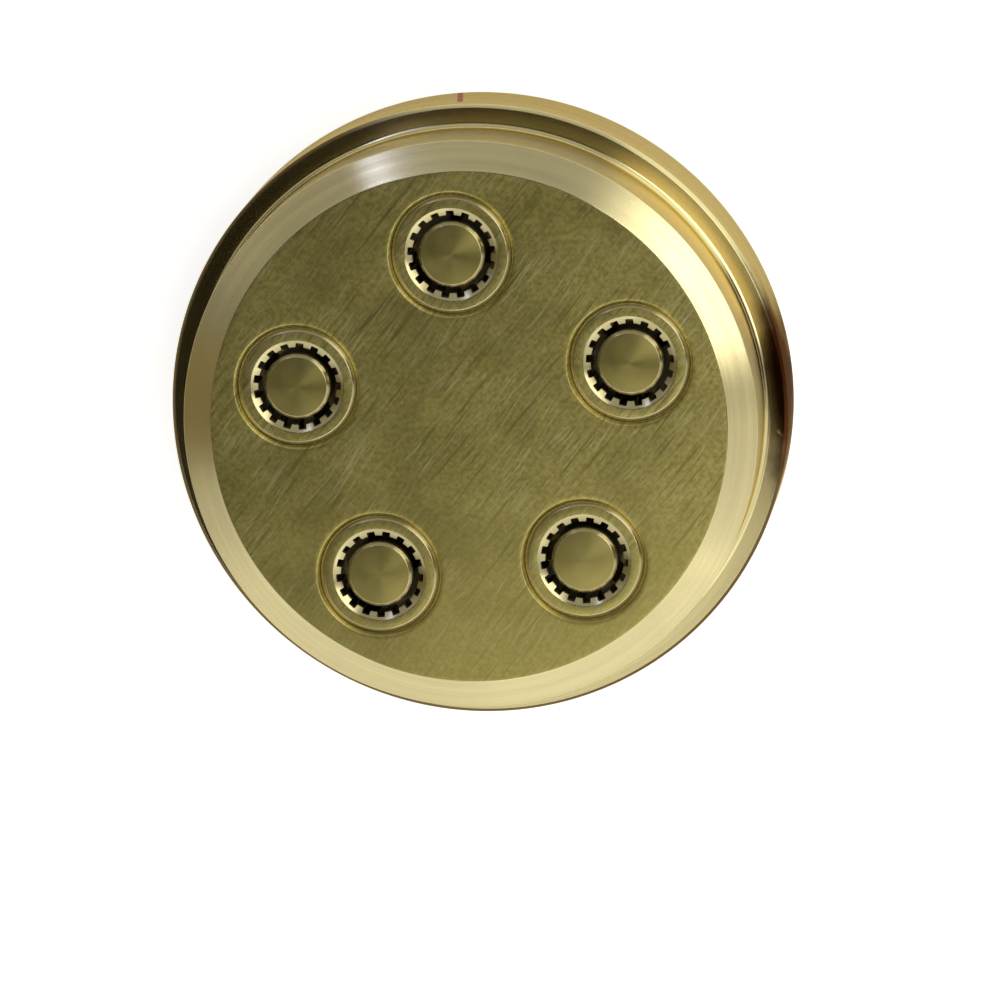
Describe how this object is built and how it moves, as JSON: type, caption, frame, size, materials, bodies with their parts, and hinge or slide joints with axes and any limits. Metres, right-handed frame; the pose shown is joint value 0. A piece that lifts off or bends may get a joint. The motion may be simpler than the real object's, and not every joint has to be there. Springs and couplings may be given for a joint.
{
  "type": "pasta extrusion die",
  "caption": "Round stepped bronze die plate for a pasta extruder, with a chamfered outlet face and a ring of fluted inserts whose centre pins form ridged tubes.",
  "frame": {"origin": "centre of the back face, which the die lies on", "axes": "+Z along the die's axis, the way the dough leaves; +Y towards the first insert"},
  "size_m": [0.078, 0.078, 0.0215],
  "materials": {
    "plate_bronze": "sanded face, turned rims",
    "sleeve_bronze": "turned",
    "mandrel_bronze": "turned"
  },
  "bodies": {
    "root": {"die_body": "plate_bronze", "sleeve_1": "sleeve_bronze", "sleeve_2": "sleeve_bronze", "sleeve_3": "sleeve_bronze", "sleeve_4": "sleeve_bronze", "sleeve_5": "sleeve_bronze", "mandrel_1": "mandrel_bronze", "mandrel_2": "mandrel_bronze", "mandrel_3": "mandrel_bronze", "mandrel_4": "mandrel_bronze", "mandrel_5": "mandrel_bronze"}
  },
  "joints": []
}
